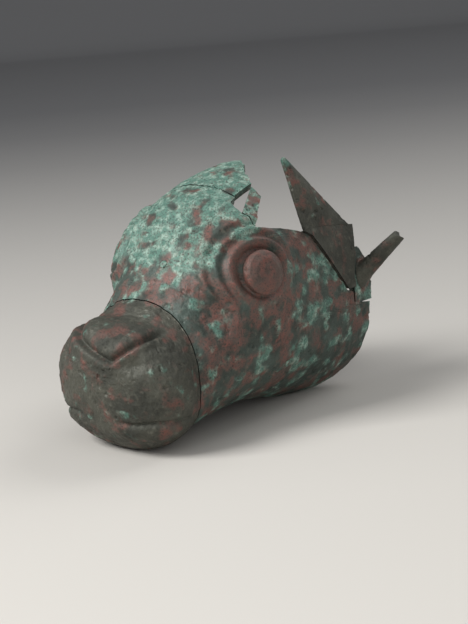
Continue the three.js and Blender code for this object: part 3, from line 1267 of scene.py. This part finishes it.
class Studio:
    """The camera at the photograph's angle, soft light from the upper left, and a sweep with painted light
    falloff: painted light near the head, painted shade beyond.
    """

    AZIMUTH, ELEVATION, ROLL = math.radians(44), math.radians(15), math.radians(5)
    LENS, SENSOR, FAR_CLIP = 100.0, 36.0, 20.0
    PIXELS_PER_MM = 2.78
    TARGET, TARGET_PIXEL, PICTURE = (0.0, 0.0, 22.0), (131, 383), (468, 624)
    AIM = (0.0, 0.0, 0.04)
    LAMPS = (
        Lamp("key", (-0.5, -0.9, 1.0), 0.6, 21),
        Lamp("fill", (1.1, -0.5, 0.5), 1.2, 4),
        Lamp("rim", (0.2, 0.9, 0.9), 0.8, 6),
    )
    SKY, SKY_STRENGTH = (0.55, 0.57, 0.6, 1), 0.45
    SAMPLES, RESOLUTION = 96, (768, 1024)
    SWEEP = SweepSizes()

    def __init__(self, shift: np.ndarray) -> None:
        self.shift = Vector(shift.tolist())

    def camera(self) -> None:
        """Places the camera so that a known point of the head falls on its pixel in the photograph."""
        data = bpy.data.cameras.new("camera")
        data.lens, data.sensor_width, data.clip_end = self.LENS, self.SENSOR, self.FAR_CLIP
        camera = bpy.data.objects.new("camera", data)
        bpy.context.collection.objects.link(camera)
        a, e, roll = self.AZIMUTH, self.ELEVATION, self.ROLL
        forward = Vector((-math.sin(a) * math.cos(e), math.cos(a) * math.cos(e), -math.sin(e)))
        level = Vector((math.cos(a), math.sin(a), 0))
        upright = level.cross(forward)
        right = level * math.cos(roll) - upright * math.sin(roll)
        up = level * math.sin(roll) + upright * math.cos(roll)
        distance = self.LENS * self.PICTURE[1] / self.SENSOR / self.PIXELS_PER_MM
        sideways = (self.TARGET_PIXEL[0] - self.PICTURE[0] / 2) / self.PIXELS_PER_MM
        upwards = (self.PICTURE[1] / 2 - self.TARGET_PIXEL[1]) / self.PIXELS_PER_MM
        place = Vector(self.TARGET) + self.shift - forward * distance - right * sideways - up * upwards
        turn = Matrix((right, up, -forward)).transposed().to_4x4()
        camera.matrix_world = Matrix.Translation(place * MM) @ turn
        bpy.context.scene.camera = camera

    def light(self, lamp: Lamp) -> None:
        """Adds one soft panel, aimed at the head.

        Args:
            lamp: its place, size and power.
        """
        data = bpy.data.lights.new(lamp.name, "AREA")
        data.size, data.energy = lamp.size, lamp.power
        panel = bpy.data.objects.new(lamp.name, data)
        bpy.context.collection.objects.link(panel)
        panel.location = lamp.place
        panel.rotation_euler = (Vector(self.AIM) - Vector(lamp.place)).to_track_quat("-Z", "Y").to_euler()

    def sweep_look(self) -> bpy.types.Material:
        """A matt material with painted light falloff: painted light, pale, near the head, and painted shade,
        grey, beyond it.

        Returns:
            The material.
        """
        look = bpy.data.materials.new("sweep")
        look.use_nodes = True
        nodes, link = look.node_tree.nodes, look.node_tree.links.new
        shader = nodes["Principled BSDF"]
        shader.inputs["Roughness"].default_value = self.SWEEP.roughness
        distance, ramp = nodes.new("ShaderNodeAttribute"), nodes.new("ShaderNodeValToRGB")
        distance.attribute_name = "fade"
        # painted light falloff: pale painted light near the head, grey painted shade beyond it
        ramp.color_ramp.elements[0].color = self.SWEEP.painted_lit_pale
        ramp.color_ramp.elements[1].color = self.SWEEP.painted_shade_grey
        link(distance.outputs["Fac"], ramp.inputs["Fac"])
        link(ramp.outputs["Color"], shader.inputs["Base Color"])
        return look

    def sweep(self) -> None:
        """Adds a floor that curves up into a wall behind the head, by a smooth rise along its line."""
        size = self.SWEEP
        s = np.linspace(0, 1, size.rows)
        reach = np.interp(s, size.bends, size.reaches)
        rise = size.height * smoothstep(*size.curve, s)
        # painted light falloff: the share of painted grey shade, rising with the distance behind the head
        fade = np.repeat(smoothstep(*size.fade, reach), size.columns)
        back = np.array([-math.sin(self.AZIMUTH), math.cos(self.AZIMUTH)])
        side = np.array([math.cos(self.AZIMUTH), math.sin(self.AZIMUTH)])
        across = np.linspace(-size.half_width, size.half_width, size.columns)
        plan = reach[:, None, None] * back + across[None, :, None] * side
        heights = np.broadcast_to(rise[:, None, None], (size.rows, size.columns, 1)) - size.below_floor
        points = np.concatenate([plan, heights], -1).reshape(-1, 3)
        faces = quads(np.arange(len(points)).reshape(size.rows, size.columns), flip=True)
        mesh = bpy.data.meshes.new("sweep")
        mesh.from_pydata(points.tolist(), [], faces.tolist())
        mesh.polygons.foreach_set("use_smooth", np.ones(len(mesh.polygons), bool))
        mesh.attributes.new("fade", "FLOAT", "POINT").data.foreach_set("value", fade.astype(np.float32))
        mesh.materials.append(self.sweep_look())
        floor = bpy.data.objects.new("sweep", mesh)
        bpy.context.collection.objects.link(floor)

    def settings(self) -> None:
        """Sets the world and the render settings."""
        scene = bpy.context.scene
        world = bpy.data.worlds.new("world")
        world.use_nodes = True
        background = world.node_tree.nodes["Background"]
        background.inputs["Color"].default_value = self.SKY
        background.inputs["Strength"].default_value = self.SKY_STRENGTH
        scene.world = world
        scene.render.engine = "CYCLES"
        scene.cycles.samples = self.SAMPLES
        scene.cycles.use_denoising = True
        scene.render.resolution_x, scene.render.resolution_y = self.RESOLUTION
        scene.view_settings.view_transform = "Standard"

    def build(self) -> None:
        """Adds the camera, sweep and lamps, and sets the render settings."""
        self.camera()
        self.sweep()
        for lamp in self.LAMPS:
            self.light(lamp)
        self.settings()


def main() -> None:
    """Loads the frame, builds every piece around it, and sets the studio."""
    logging.basicConfig(level=logging.INFO)
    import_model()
    low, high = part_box("muzzle_cap")
    shift = np.array([(low.x + high.x) / 2 / MM, low.y / MM + DOME.length, 0.0])
    patina = Patina()
    assembly = Assembly(shift, {finish.slot: patina.material(finish) for finish in FINISHES})
    ear = Ear("near_ear", Slot.OLIVE, Region(-0.2, -0.05, 0.12), 96)
    for piece in (*wall_patches(), HornShard(), ear, *plugs()):
        piece.build(assembly)
    Studio(shift).build()


if __name__ == "__main__":
    main()
